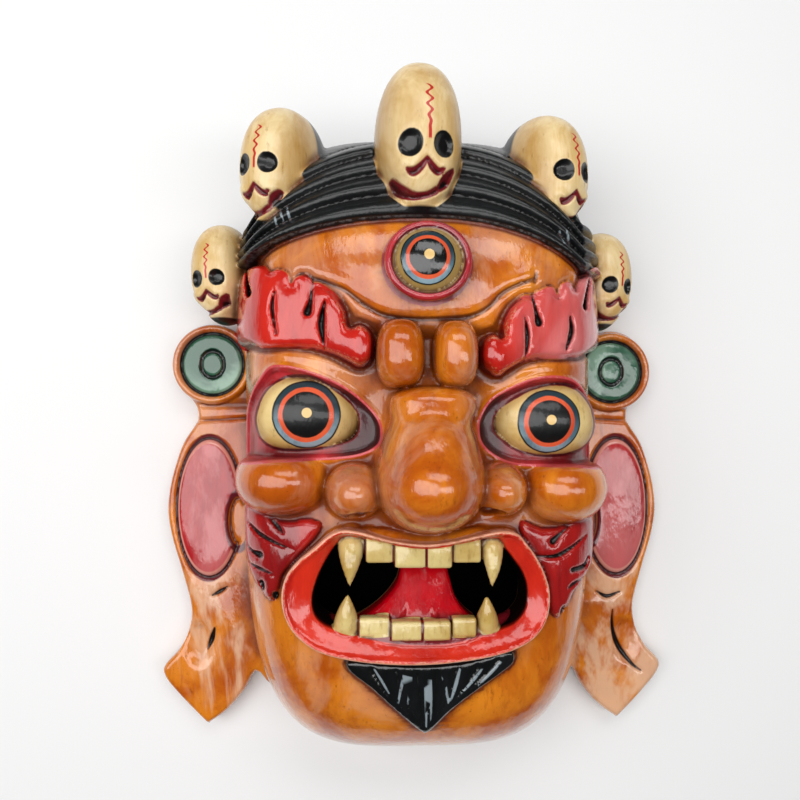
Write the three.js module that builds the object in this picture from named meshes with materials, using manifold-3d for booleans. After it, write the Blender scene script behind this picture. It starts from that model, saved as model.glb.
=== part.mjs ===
// A wrathful guardian's dance mask, carved from one block of wood, lying on its back with its face up.
// Millimetres: +X is the right of the face as seen, +Y runs from chin to crown, +Z comes out of the face.
// The origin is on the back plane, in the middle of the mask's outline.
import * as THREE from "three";
import { mergeVertices } from "three/addons/utils/BufferGeometryUtils.js";
import Module from "manifold-3d";

// The dome that all the features are carved on: a rounded, squarish shell, open behind.
const DOME = { halfWidth: 75, crown: 124, chin: 136, height: 69, squareness: 3.7, flatness: 7.5 };
const WALL = 10.5;
const RIM = { halfWidth: 76.5, crown: 125, chin: 142, squareness: 3.7, thickness: 6 };
const NOSE_HOLLOW = { y: -12, top: 88, size: [13, 13, 46] };

const BAND = { halfWidth: 75, rolls: 4, lowY: 82, pitch: 9.6, proud: 4.5, drop: 17, spread: 4.5 };
const THIRD_EYE = { y: 62.5, radius: 14.5, front: 86 };
const BROW = { proud: 9, depth: 18 };
const EYE = { x: 44.5, y: 8, halfWidth: 19.5, halfHeight: 13, tilt: 3, front: 74 };
const NOSE = { y: -13.5, front: 106, halfWidth: 20, halfHeight: 17.5 };
const CHEEK = { x: 51.5, y: -15.5, front: 79.5, radius: 18.5 };
const MOUTH = { x: 1, y: -57.5, halfWidth: 41, halfHeight: 18.5, squareness: 2.7 };
const LIP = { width: 9.5, front: 81 };
const TEETH = { x: -0.5, pitch: 10.6, count: 4, front: 79 };
const UPPER_JAW = { up: 1, y: -42.5, sag: 0.0022, fang: 17.5 };
const LOWER_JAW = { up: -1, y: -69.5, sag: 0.0045, fang: 13 };
const BEARD = { tip: [3, -115], halfWidth: 30, topY: -88, rise: 6, proud: 5, flutes: 7 };
const EAR = { thickness: 11, bevel: 1.6, rosette: [90, 29.5], lobe: [92.5, -33.5] };
const SKULLS = [
  { at: [-2, 112, 63], size: [17, 30, 22], turn: 3, lean: 0 },
  { at: [-54.5, 105, 49], size: [14.3, 25, 21], turn: -28, lean: -3 },
  { at: [49.5, 103.5, 49], size: [14.3, 25, 21], turn: 28, lean: 3 },
  { at: [-83, 68, 26], size: [12.3, 21.5, 16], turn: -20, lean: 2 },
  { at: [79.5, 66, 26], size: [12.3, 21.5, 16], turn: 22, lean: -2 },
];

const wasm = await Module();
wasm.setup();

// ---- making solids -------------------------------------------------------------------------------

// A closed geometry as a solid, with its shared vertices merged and its faces turned outwards.
function solid(geometry) {
  const bare = new THREE.BufferGeometry();
  bare.setAttribute("position", geometry.getAttribute("position"));
  bare.setIndex(geometry.getIndex());
  const merged = mergeVertices(bare, 1e-3);
  const corners = merged.index.array;
  const triVerts = [];
  for (let i = 0; i < corners.length; i += 3) {
    const [a, b, c] = corners.slice(i, i + 3);
    if (a !== b && b !== c && c !== a) triVerts.push(a, b, c);
  }
  const vertProperties = new Float32Array(merged.attributes.position.array);
  const made = (order) =>
    new wasm.Manifold(new wasm.Mesh({ numProp: 3, vertProperties, triVerts: new Uint32Array(order) }));
  const body = made(triVerts);
  return body.volume() < 0 ? made(triVerts.reverse()) : body;
}

// Moves every vertex of a geometry to where place(x, y, z) puts it.
function shaped(geometry, place) {
  const points = geometry.getAttribute("position");
  for (let i = 0; i < points.count; i++) {
    points.setXYZ(i, ...place(points.getX(i), points.getY(i), points.getZ(i)));
  }
  return geometry;
}

const joined = (solids) => solids.reduce((all, next) => all.add(next));

// The same carving on both sides: side is -1 on the left and +1 on the right.
const onBothSides = (make) => [-1, 1].flatMap((side) => make(side));

const mixed = (a, b, share) => a + (b - a) * share;

// ---- the dome's form -----------------------------------------------------------------------------

// How far out a point lies on a plan of these half sizes: 0 in the middle, 1 on its edge.
function reach(x, y, { halfWidth, crown, chin }) {
  const n = DOME.squareness;
  return (Math.abs(x / halfWidth) ** n + Math.abs(y / (y > 0 ? crown : chin)) ** n) ** (1 / n);
}

const domeRise = (share) => Math.sqrt(Math.max(0, 1 - share ** DOME.flatness));

// Height of the bare dome over a point of the back plane.
const domeHeight = (x, y) => DOME.height * domeRise(Math.min(1, reach(x, y, DOME)));

// A turned solid whose round plan is drawn out to the dome's squarish one.
function onPlan(profile, plan, segments) {
  const turned = new THREE.LatheGeometry(profile.map(([r, z]) => new THREE.Vector2(r, z)), segments);
  return solid(
    shaped(turned, (x, height, z) => {
      const radius = Math.hypot(x, z);
      const scale = radius < 1e-6 ? 0 : radius / reach(x, -z, plan);
      return [x * scale, -z * scale, height];
    }),
  );
}

function dome(plan, height, segments) {
  const rings = [0, 0.6, 0.78, 0.88, 0.945, 0.98, 1];
  return onPlan([...rings.map((r) => [r, height * domeRise(r)]), [0, 0]], plan, segments);
}

function shell() {
  const { thickness } = RIM;
  const edge = [[0, 0], [1, 0], [1, thickness - 1.2], [0.985, thickness], [0, thickness]];
  return dome(DOME, DOME.height, 36).add(onPlan(edge, RIM, 36));
}

// The hollow for the wearer's face, with a deeper pocket behind the nose.
function hollow() {
  const inside = {
    halfWidth: DOME.halfWidth - WALL,
    crown: DOME.crown - WALL,
    chin: DOME.chin - WALL,
  };
  return dome(inside, DOME.height - WALL, 24).add(lump({ x: 0, ...NOSE_HOLLOW, front: NOSE_HOLLOW.top }));
}

// ---- shapes used over and over -------------------------------------------------------------------

// A rounded lump whose top stands at a given height; squareness 1 is an ellipsoid, less is boxier.
function lump({ x, y, front, size, squareness = 1, cells = [12, 7] }) {
  const [rx, ry, rz] = size;
  const boxed = (t) => Math.sign(t) * Math.abs(t) ** squareness;
  const ball = new THREE.SphereGeometry(1, ...cells).rotateX(Math.PI / 2);
  return solid(
    shaped(ball, (u, v, w) => [x + rx * boxed(u), y + ry * boxed(v), front + rz * (boxed(w) - 1)]),
  );
}

// A rounded ring laid round a closed line: route(angle) gives the x, y and z of its middle and how
// wide it is to each side there.
function ring(route, halfThickness, [around, section]) {
  const torus = new THREE.TorusGeometry(2, 1, section, around);
  return solid(
    shaped(torus, (x, y, z) => {
      const angle = Math.atan2(y, x);
      const [cx, cy, cz, halfWidth] = route(angle);
      const [ax, ay] = route(angle + 0.01);
      const [bx, by] = route(angle - 0.01);
      const across = (halfWidth * (Math.hypot(x, y) - 2)) / Math.hypot(ax - bx, ay - by);
      return [cx + across * (ay - by), cy - across * (ax - bx), cz + halfThickness * z];
    }),
  );
}

// A slab between two lines: low(u) and high(u) give [x, y] as u runs from 0 to 1 along it, and
// top(x, y, share, u) its surface, share being 0 on the low line and 1 on the high one.
function slab({ low, high, top, depth, cells }) {
  const box = new THREE.BoxGeometry(1, 1, 1, ...cells, 1).translate(0.5, 0.5, 0);
  return solid(
    shaped(box, (u, share, bz) => {
      const [x0, y0] = low(u);
      const [x1, y1] = high(u);
      const [x, y] = [mixed(x0, x1, share), mixed(y0, y1, share)];
      return [x, y, top(x, y, share, u) - (bz > 0 ? 0 : depth)];
    }),
  );
}

// A smooth line through a few points, given by its share along, on one side of the face.
function lineThrough(points, side = 1) {
  const curve = new THREE.SplineCurve(points.map(([x, y]) => new THREE.Vector2(side * x, y)));
  return (u) => curve.getPoint(u).toArray();
}

// A cutter for one gouged drop: a thin tail that widens to a round eye, sunk by depth into top.
function gouge([x0, y0], [x1, y1], halfWidth, depth, top) {
  const drop = shaped(new THREE.SphereGeometry(1, 5, 5), (u, v, w) => {
    const share = (v + 1) / 2;
    const across = halfWidth * (0.3 + 0.7 * share) * u;
    const length = Math.hypot(x1 - x0, y1 - y0);
    const x = mixed(x0, x1, share) + (across * (y1 - y0)) / length;
    const y = mixed(y0, y1, share) - (across * (x1 - x0)) / length;
    return [x, y, top(x, y) + depth * w];
  });
  return solid(drop);
}

// ---- brow, eyes and band -------------------------------------------------------------------------

// The overlapping rolls of cloth in the headband, arching over the brow.
function headband() {
  const { halfWidth, rolls, lowY, pitch, proud, drop, spread } = BAND;
  const arch = (level) => (u) => {
    const x = halfWidth * (2 * u - 1);
    const fall = (drop + spread * level) * Math.abs(2 * u - 1) ** 2.3;
    return [x * (1 - 0.02 * level), lowY + pitch * level - fall];
  };
  const top = (x, y, share) => domeHeight(x, y) + proud - 3.4 * share ** 2;
  return Array.from({ length: rolls }, (_, i) =>
    slab({ low: arch(i), high: arch(i + 1.12), top, depth: 14, cells: [14, 2] }),
  );
}

// A skull: a long bare cranium over round sockets, a split nose and a small grinning jaw.
function skull({ at, size, turn, lean }) {
  const [rx, ry, rz] = size;
  const jaw = (v) => 1 - 0.3 * THREE.MathUtils.smoothstep(-v, 0.25, 1);
  const head = shaped(new THREE.SphereGeometry(1, 12, 9), (u, v, w) => [rx * u * jaw(v), ry * v, rz * w]);
  const dent = (u, v, across, up) => {
    const front = rz * Math.sqrt(1 - (u / jaw(v)) ** 2 - v * v);
    const cut = new THREE.SphereGeometry(1, 6, 4).scale(across * rx, up * rx, 0.22 * rx);
    return solid(cut.translate(rx * u, ry * v, front));
  };
  const dents = onBothSides((side) => [
    dent(side * 0.38, -0.2, 0.3, 0.36),
    dent(side * 0.24, -0.58, 0.24, 0.13),
  ]);
  return solid(head)
    .subtract(joined(dents))
    .rotate([0, turn, 0])
    .rotate([0, 0, lean])
    .translate(at);
}

function forehead() {
  const { y, radius, front } = THIRD_EYE;
  const bulge = lump({ x: 0, y: 62, front: 79, size: [60, 24, 30], squareness: 0.9, cells: [20, 8] });
  const eyeball = lump({ x: 0, y, front, size: [radius - 2, radius - 2, 12] });
  const rim = (a) => [radius * Math.cos(a), y + radius * Math.sin(a), front - 6.5, 2.3];
  return [bulge, eyeball, ring(rim, 3.6, [18, 5])];
}

// A flaming eyebrow: a scalloped slab that rises outwards from a curled inner tip.
function brow(side) {
  const high = lineThrough([[18, 33], [24.5, 41], [29, 44], [37, 54], [47, 57], [60, 62], [71, 65]], side);
  const low = lineThrough([[18.5, 28], [25, 23.5], [34, 28], [46, 33], [60, 34], [71.5, 34]], side);
  const frilled = (u) => {
    const [x, y] = high(u);
    return [x, y + 1.1 * Math.cos(u * 34)];
  };
  const top = (x, y, share) => domeHeight(x, y) + BROW.proud - 4.5 * (2 * share - 1) ** 2;
  return [slab({ low, high: frilled, top, depth: BROW.depth, cells: [16, 2] })];
}

function browGouges(side) {
  const marks = [
    [[63, 38], [59, 54], 1.4],
    [[46, 60], [48, 47], 2],
    [[38, 53], [41, 36], 1.7],
  ];
  const top = (x, y) => domeHeight(x, y) + BROW.proud;
  return marks.map(([[x0, y0], [x1, y1], halfWidth]) =>
    gouge([side * x0, y0], [side * x1, y1], halfWidth, 4.5, top),
  );
}

// A bulging eye between heavy lids, tilted so that its inner corner is the low one.
function eye(side) {
  const { x, y, halfWidth, halfHeight, tilt, front } = EYE;
  const ball = lump({
    x: side * x,
    y,
    front,
    size: [halfWidth + 1, halfHeight + 3, 22],
    cells: [14, 7],
  });
  const lids = (a) => {
    const across = Math.cos(a);
    const lidX = side * (x + halfWidth * across);
    const lidY = y + 0.5 + halfHeight * Math.sin(a) + tilt * across;
    return [lidX, lidY, domeHeight(lidX, lidY) + 2.5 - across, 2.4];
  };
  return [ball, ring(lids, 4.4, [18, 5])];
}

function nose() {
  const knots = onBothSides((side) => [
    lump({ x: side * 9.2, y: 30, front: 90, size: [8.6, 13, 28], squareness: 0.7, cells: [8, 6] }),
    lump({ x: side * 25.5, y: -18.5, front: 88, size: [11, 10.5, 24], cells: [10, 6] }),
  ]);
  const { y, front, halfWidth, halfHeight } = NOSE;
  return [
    ...knots,
    lump({ x: 1, y: 11, front: 89, size: [14.5, 7.8, 26], squareness: 0.65, cells: [8, 6] }),
    lump({ x: 0, y: 6, front: 84, size: [20, 30, 30], cells: [10, 6] }),
    lump({ x: 1, y, front, size: [halfWidth, halfHeight, 40], cells: [16, 8] }),
  ];
}

const nostrils = () =>
  onBothSides((side) => [
    lump({ x: side * 25, y: -27, front: 86, size: [4.6, 3.8, 6], cells: [8, 4] }),
  ]);

// ---- cheeks, mouth and beard ---------------------------------------------------------------------

// A round cheek, with a frill of low flames that licks outwards below it.
function cheek(side) {
  const { x, y, front, radius } = CHEEK;
  const size = [radius, radius * 0.92, 34];
  const ball = lump({ x: side * x, y, front, size, squareness: 0.93, cells: [14, 7] });
  const inner = lineThrough([[46, -30], [53, -44], [55, -58], [51, -74]], side);
  const outer = lineThrough([[70, -31], [70.5, -46], [66, -61], [54, -75]], side);
  const licked = (u) => {
    const [ox, oy] = outer(u);
    return [ox - side * 1.6 * Math.abs(Math.sin(u * 4 * Math.PI)), oy];
  };
  const top = (px, py) => domeHeight(px, py) + 3;
  return [ball, slab({ low: inner, high: licked, top, depth: 12, cells: [12, 1] })];
}

function cheekGouges(side) {
  const marks = [
    [[67, -34], [55, -43], 2],
    [[68, -46], [59, -53], 1.8],
  ];
  const top = (x, y) => domeHeight(x, y) + 3;
  return marks.map(([[x0, y0], [x1, y1], halfWidth]) =>
    gouge([side * x0, y0], [side * x1, y1], halfWidth, 3, top),
  );
}

// A point of the mouth's outline, grown outwards by a margin; the upper lip dips in the middle.
function mouthPoint(angle, margin) {
  const n = MOUTH.squareness;
  const [c, s] = [Math.cos(angle), Math.sin(angle)];
  const halfWidth = MOUTH.halfWidth + margin;
  const halfHeight = MOUTH.halfHeight + margin * (s > 0 ? 0.6 : 0.85);
  const x = halfWidth * Math.sign(c) * Math.abs(c) ** (2 / n);
  const y = halfHeight * Math.sign(s) * Math.abs(s) ** (2 / n);
  const dip = s > 0 ? 4.5 * Math.exp(-(x * x) / 480) : 0;
  return [MOUTH.x + x, MOUTH.y + y - dip];
}

function muzzle() {
  const mass = lump({ x: MOUTH.x, y: -56, front: 79, size: [54, 34, 42], cells: [18, 8] });
  const lips = (a) => {
    const [x, y] = mouthPoint(a, LIP.width / 2);
    const upper = THREE.MathUtils.smoothstep(Math.sin(a), 0.1, 0.9);
    return [x, y, LIP.front - 4.2 - (x / 23) ** 2 * 1.6, (LIP.width / 2) * (1 - 0.45 * upper)];
  };
  return [mass, ring(lips, 4.2, [30, 5])];
}

// The opening of the mouth, a little narrower behind than in front.
function mouthCut() {
  const corners = Array.from({ length: 28 }, (_, i) => mouthPoint((i * Math.PI) / 14, 0));
  const outline = new THREE.Shape(corners.map(([x, y]) => new THREE.Vector2(x, y)));
  const cut = new THREE.ExtrudeGeometry(outline, { depth: 60, bevelEnabled: false });
  return solid(
    shaped(cut, (x, y, z) => {
      const share = 0.86 + (0.14 * z) / 60;
      return [MOUTH.x + (x - MOUTH.x) * share, MOUTH.y + (y - MOUTH.y) * share, z + 38];
    }),
  );
}

// A row of square teeth between two fangs, on a bar of gum.
function jaw({ up, y, sag, fang }) {
  const bow = (x) => TEETH.front - 0.008 * x * x;
  const rowY = (x) => y + sag * x * x;
  const teeth = Array.from({ length: TEETH.count }, (_, i) => {
    const x = TEETH.x + (i - (TEETH.count - 1) / 2) * TEETH.pitch;
    const block = new THREE.BoxGeometry(TEETH.pitch - 0.9, 10, 12);
    return solid(block.translate(x, rowY(x), bow(x) - 6));
  });
  const fangs = onBothSides((side) => {
    const cone = new THREE.ConeGeometry(1, fang, 8, 2).translate(0, fang / 2, 0);
    return [
      solid(
        shaped(cone, (cx, cy, cz) => {
          const share = cy / fang;
          const swell = 5 * (1 + 0.55 * share);
          const x = TEETH.x + side * (25.5 - 1.4 * Math.sin(2 * share)) + swell * cx;
          return [x, rowY(25) + up * (5 - cy), bow(25) - 2 + swell * cz];
        }),
      ),
    ];
  });
  const gumLine = (offset) => (u) => {
    const x = TEETH.x + 34 * (2 * u - 1);
    return [x, rowY(x) + up * offset];
  };
  const gum = slab({
    low: gumLine(0),
    high: gumLine(4),
    top: (x) => bow(x) - 5,
    depth: 16,
    cells: [6, 1],
  });
  return [...teeth, ...fangs, gum];
}

// The tongue: a waisted wall that runs up from the lower teeth to the roof of the mouth.
function tongue() {
  const foot = (u) => [MOUTH.x + 40 * (u - 0.5), -70];
  const root = (u) => [MOUTH.x - 2 + 19 * (u - 0.5), -38];
  const top = (x, y, share) => 74 - 12 * share - 0.01 * (x - MOUTH.x) ** 2;
  const waisted = shaped(new THREE.BoxGeometry(1, 1, 1, 4, 5, 1), (bu, bv, bz) => {
    const [u, share] = [bu + 0.5, bv + 0.5];
    const narrowing = 1 - (1 - share) ** 2.2;
    const x = mixed(foot(u)[0], root(u)[0], narrowing);
    const y = mixed(foot(u)[1], root(u)[1], share);
    return [x, y, top(x, y, share) - (bz > 0 ? 0 : 14)];
  });
  return solid(waisted);
}

// The chin beard: flutes that fan up from its point.
function beard() {
  const { tip, halfWidth, topY, rise, proud, flutes } = BEARD;
  const point = (u) => [tip[0] + 2 * (u - 0.5), tip[1]];
  const lipEdge = (u) => [tip[0] + halfWidth * (2 * u - 1), topY + rise * (2 * u - 1) ** 2];
  const top = (x, y, share, u) =>
    domeHeight(x, y) + proud + 1.1 * share * Math.cos(u * 2 * Math.PI * flutes);
  return slab({ low: point, high: lipEdge, top, depth: 13, cells: [4 * flutes, 1] });
}

// ---- ears ----------------------------------------------------------------------------------------

// An ear: a flat plate with a round top, a long lobe, a waist and a flared, pointed foot.
function ear(side) {
  const [rx, ry] = EAR.rosette;
  const outline = new THREE.Shape();
  outline.moveTo(60, ry + 14);
  outline.lineTo(rx - 12, ry + 14);
  outline.absarc(rx, ry, 15.5, 2.2, -0.85, true);
  const lobe = [[99, 4.5], [107.5, -12], [110, -38], [101, -79], [112.8, -105.5]];
  outline.splineThru(lobe.map(([x, y]) => new THREE.Vector2(x, y)));
  outline.quadraticCurveTo(113.5, -110, 108, -116);
  outline.lineTo(93, -131);
  outline.quadraticCurveTo(80, -122, 73, -109);
  outline.lineTo(60, -104);
  const { thickness, bevel } = EAR;
  const plate = new THREE.ExtrudeGeometry(outline, {
    depth: thickness - bevel,
    bevelThickness: bevel,
    bevelSize: bevel,
    bevelOffset: -bevel,
    bevelSegments: 1,
    curveSegments: 4,
  });
  const flatBacked = shaped(plate, (x, y, z) => [side * x, y, Math.max(0, z)]);
  return [
    solid(flatBacked)
      .subtract(joined(earGrooves(side)))
      .add(rosette(side)),
  ];
}

// The groove round the ear's cushion and the fold in the flared foot.
function earGrooves(side) {
  const [x, y] = EAR.lobe;
  const top = () => EAR.thickness;
  const lobe = (a) => [side * (x + 13.5 * Math.cos(a)), y + 29.5 * Math.sin(a), EAR.thickness, 1.7];
  return [
    ring(lobe, 2.6, [20, 4]),
    gouge([side * 103, -108], [side * 91, -80], 2, 2.6, top),
  ];
}

// The ear's rosette: a raised rim round a disc with a ring sunk into it.
function rosette(side) {
  const radii = [0, 16, 16, 14.8, 13.2, 12.6, 7, 5.8, 4, 0];
  const heights = [0, 0, 14, 15.5, 15.5, 12, 13.5, 11.8, 14, 14.4];
  const profile = radii.map((radius, i) => new THREE.Vector2(radius, heights[i]));
  const turned = new THREE.LatheGeometry(profile, 16).rotateX(Math.PI / 2);
  return solid(turned.translate(side * EAR.rosette[0], EAR.rosette[1], 0));
}

// ---- the mask ------------------------------------------------------------------------------------

function mask() {
  const masses = joined([
    shell(),
    ...headband(),
    ...forehead(),
    ...nose(),
    ...muzzle(),
    beard(),
    ...onBothSides(brow),
    ...onBothSides(eye),
    ...onBothSides(cheek),
    ...onBothSides(ear),
    ...SKULLS.map(skull),
  ]);
  const belowTheBack = solid(new THREE.BoxGeometry(300, 400, 60).translate(0, 0, -30));
  const cuts = joined([
    belowTheBack,
    hollow(),
    mouthCut(),
    ...nostrils(),
    ...onBothSides(browGouges),
    ...onBothSides(cheekGouges),
  ]);
  return masses.subtract(cuts).add(joined([...jaw(UPPER_JAW), ...jaw(LOWER_JAW), tongue()]));
}

function geometryOf(body) {
  const { vertProperties, triVerts } = body.getMesh();
  const geometry = new THREE.BufferGeometry();
  geometry.setAttribute("position", new THREE.BufferAttribute(vertProperties, 3));
  geometry.setIndex(new THREE.BufferAttribute(triVerts, 1));
  geometry.computeVertexNormals();
  return geometry;
}

const carvedWood = new THREE.MeshStandardMaterial({ color: 0xc8701c, roughness: 0.35, metalness: 0 });
const carving = new THREE.Mesh(geometryOf(mask()), carvedWood);
carving.name = "mask";

const group = new THREE.Group();
group.add(carving);

export default group;
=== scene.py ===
import math

import bpy
import numpy as np
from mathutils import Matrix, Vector


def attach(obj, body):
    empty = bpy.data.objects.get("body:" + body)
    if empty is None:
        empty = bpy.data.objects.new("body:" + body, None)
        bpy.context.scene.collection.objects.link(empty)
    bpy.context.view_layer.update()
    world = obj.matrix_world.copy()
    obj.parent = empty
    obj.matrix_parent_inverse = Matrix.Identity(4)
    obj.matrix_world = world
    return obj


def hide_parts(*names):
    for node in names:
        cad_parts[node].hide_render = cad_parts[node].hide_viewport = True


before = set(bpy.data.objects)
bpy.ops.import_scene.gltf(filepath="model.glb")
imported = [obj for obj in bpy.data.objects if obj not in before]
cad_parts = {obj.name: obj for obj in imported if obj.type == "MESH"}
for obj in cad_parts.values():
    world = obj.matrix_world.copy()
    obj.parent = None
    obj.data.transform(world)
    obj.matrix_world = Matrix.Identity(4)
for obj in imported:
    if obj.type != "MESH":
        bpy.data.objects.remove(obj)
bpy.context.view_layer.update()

# A wrathful guardian's dance mask, one block of carved and painted wood. The carving is worked out
# as a distance field in millimetres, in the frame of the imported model: +X is the right of the face
# as seen, +Y runs from chin to crown, and +Z comes out of the face.
# STEP is the spacing of the points that the field is worked out at.
STEP = 0.8
TRIANGLES = 196000

# ---- the dome that everything is carved on, and the hollow behind it ----
HALF_WIDTH, CROWN, CHIN, HEIGHT = 75.0, 124.0, 136.0, 69.0
SQUARENESS, FLATNESS, WALL = 3.7, 7.5, 10.5
RIM_WIDTH, RIM_CROWN, RIM_CHIN, RIM_THICK = 76.5, 125.0, 141.8, 6.0

# ---- shapes drawn on the face, as [x, y] in millimetres ----
BROWS = [
    [[-80, 66.6], [-74, 67.6], [-68, 67.6], [-62, 66.4], [-58.2, 62.5], [-55, 62.8], [-51.5, 60.8],
     [-50, 56.8], [-47, 59.3], [-43.5, 59.8], [-41.3, 57], [-38, 56.3], [-33, 52.8], [-29, 47],
     [-27.6, 41], [-24, 42], [-20.3, 40], [-18.2, 35.5], [-18.6, 30], [-21, 26.6], [-24.7, 25.7],
     [-29, 27.8], [-35, 30.5], [-42, 32.6], [-52, 33.6], [-60, 33.4], [-68, 36], [-80, 40]],
    [[80, 67], [73, 66.8], [69, 66.2], [63, 62.3], [59.2, 56.4], [56.5, 58.8], [53, 57.6],
     [51, 53.2], [48.5, 56.2], [44, 54.8], [40.5, 52.6], [37, 52.4], [32, 48.5], [29.3, 43],
     [28.4, 37.2], [26, 38.7], [22, 36.8], [19.8, 32.5], [20, 28], [23, 24.4], [27.5, 22.2],
     [31, 24.3], [37, 27.6], [44, 29.4], [53, 29.8], [62, 31], [69, 34], [80, 38]],
]
EYEBALLS = [
    [[-62.6, 6], [-61, 13], [-57.5, 18.5], [-52, 22], [-46, 22.6], [-40, 21.4], [-34, 18],
     [-28.5, 13.4], [-25, 9], [-24.2, 4], [-26.5, -0.5], [-32, -2.7], [-40, -4.2], [-50, -4.6],
     [-57, -3.8], [-61, -0.6]],
    [[26.8, 6], [29, 10.4], [34, 14], [40, 17.2], [46, 19], [52, 19.6], [58, 18], [62.5, 13.5],
     [64.7, 8], [65.3, 2], [63, -3.5], [57, -6], [50, -7], [42, -6.6], [35, -4.5], [30, -1],
     [27.2, 2]],
]
LIDS = [
    [[-70.5, 2], [-69.8, 9], [-66.6, 16], [-63, 21], [-58, 26], [-52, 26.3], [-45, 24.8], [-37, 22],
     [-29, 18], [-22, 12.5], [-17.3, 7], [-15.8, 2], [-17, -3], [-23, -6.5], [-33, -8],
     [-45, -8.3], [-56, -8.6], [-65, -9.6], [-70, -9]],
    [[20.5, 3], [22, 8.5], [26, 14.3], [33, 18.4], [41, 21.5], [50, 22.6], [58, 21.2], [64, 17],
     [68.6, 11], [70.4, 4], [70.4, -6], [69, -11.8], [56, -10.8], [46, -10.8], [36, -10.5], [28, -8],
     [22, -3]],
]
LIP_OUTER = [
    [-35, -35.2], [-30, -33.3], [-24, -33.8], [-12, -37], [0, -38.4], [10, -37.4], [20, -35.4],
    [28, -34], [34, -35.2], [38, -39.5], [42, -45], [45.3, -52], [46.8, -59], [45.6, -67],
    [41, -73.5], [33, -77.6], [20, -80.2], [0, -81.6], [-20, -81], [-36, -78.5], [-45, -74],
    [-50.5, -67.5], [-52.6, -59], [-51, -51], [-46.5, -45], [-40.5, -40],
]
LIP_INNER = [
    [-32.5, -39], [-36.5, -45], [-39.8, -52], [-41.6, -59], [-40.8, -65], [-37, -69], [-31, -71],
    [-24, -72.8], [-12, -74.6], [0, -75.3], [10, -74.8], [20, -73], [28, -71.3], [34, -69],
    [38, -64], [38.8, -57], [37.2, -51], [34, -46], [30.5, -41.5], [27, -37.6], [20, -37.6],
    [12, -39], [0, -40.3], [-12, -38.8], [-22, -36.8], [-29, -36.3],
]
BEARD = [
    [-27.4, -82.4], [-14, -83.8], [0, -84.4], [14, -83.4], [24, -81.2], [33, -79.4], [34.4, -84.5],
    [28, -90], [18, -97.4], [10, -104.5], [2.4, -113.5], [-1, -113], [-10, -104], [-20, -94.2],
    [-28.8, -86.6],
]
FLAMES = [
    [[-69.5, -26.5], [-60, -29], [-52, -31.5], [-44, -30.5], [-38.5, -32], [-39, -35.6],
     [-43, -41], [-48.5, -47], [-52.6, -52], [-54.6, -58], [-56.5, -62], [-59.4, -61.8],
     [-62.6, -58.4], [-65.4, -56], [-67.6, -52.6], [-69.6, -47], [-70.6, -36]],
    [[37, -31.6], [45, -34.4], [52, -34], [60, -32], [66, -30.8], [69.6, -31.5], [70.8, -40],
     [69.6, -50], [66.5, -53.5], [62.5, -56.8], [58.6, -60], [56.2, -64.2], [53.6, -66.6],
     [51.4, -69.2], [48.2, -66.4], [47, -60], [45.8, -53.5], [42.6, -46.6], [39.2, -41.2],
     [36.4, -36.6]],
]

# Gouges, each a line of [x, y, half width].
BROW_CUTS = [
    [[-41.2, 58.5, 0.4], [-42, 51, 0.6], [-43.2, 46.2, 1.5]],
    [[-36.5, 50.5, 0.1], [-38.0, 42, 1.25], [-36.8, 32.5, 0.1]],
    [[-56, 54.5, 0.1], [-57, 48.5, 0.6], [-55.2, 38.5, 0.1]],
    [[-70, 68, 0.3], [-69.4, 62, 0.6], [-67.6, 55.5, 1.2]],
    [[40.2, 53.5, 0.4], [41.6, 47, 0.6], [42.7, 42.6, 1.5]],
    [[37, 44, 0.1], [38, 37, 0.9], [37.2, 28.5, 0.1]],
    [[55.8, 46, 0.1], [56.6, 40, 1.0], [54, 32.5, 0.2]],
    [[67.4, 62, 0.3], [64.8, 55.6, 0.6], [63.4, 50, 1.1]],
]
FLAME_CUTS = [
    [[-67, -33.5, 0.2], [-62, -37, 0.8], [-55, -39.8, 0.5], [-49, -41.6, 0.1]],
    [[-58, -30.5, 0.2], [-54.6, -33.6, 0.9], [-52.4, -36, 0.2]],
    [[-69, -42.4, 0.3], [-65, -44.5, 0.7], [-62, -45, 1.4]],
    [[-68, -49, 0.2], [-62, -50.3, 0.6], [-56, -51.6, 0.1]],
    [[-61.3, -55.6, 1.2], [-60.6, -58.4, 0.7]],
    [[-55.8, -59.6, 1.3], [-55.8, -60.4, 1.2]],
    [[55.4, -34.2, 0.2], [51.5, -37, 0.7], [48.8, -39.4, 1.4]],
    [[63, -38.5, 0.1], [57, -42, 0.6], [50, -45, 0.8], [42, -44.6, 0.1]],
    [[65, -47, 0.2], [63, -50.4, 1.0], [57, -51, 0.9]],
    [[62.6, -55, 0.1], [58, -56.3, 0.7], [55.4, -57.6, 0.3]],
    [[53.4, -65, 0.8], [53, -66.6, 0.9]],
]
EAR_CUTS = [
    [[-91.5, -73.6, 0.3], [-88, -71.8, 0.9], [-84.6, -69.6, 0.3]],
    [[-90.2, -88, 0.4], [-91.6, -93, 1.3], [-93.6, -98, 0.3]],
    [[83.6, -73, 0.3], [88.5, -75.6, 0.9], [94.5, -73.4, 0.3]],
    [[91, -81.5, 0.2], [91.2, -90, 0.9], [94.4, -99, 1.2], [100, -106.6, 0.8], [104.6, -110, 0.2]],
]
FOLDS = [
    [[-46, 60.5, 0.1], [-38, 58, 0.3], [-30, 54.6, 0.5], [-24, 50.2, 0.6], [-17, 46, 0.6],
     [-9, 44, 0.5], [1, 43.8, 0.5], [12, 44.2, 0.6], [18, 45.2, 0.7], [23.5, 48, 0.6],
     [29, 53.4, 0.6], [35, 56.6, 0.5], [41.4, 59, 0.4]],
    [[41.2, 58, 0.5], [42, 60.8, 0.3]],
    [[-33.4, -27, 0.3], [-29, -27.8, 0.5], [-24, -26.4, 0.5]],
]
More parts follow.
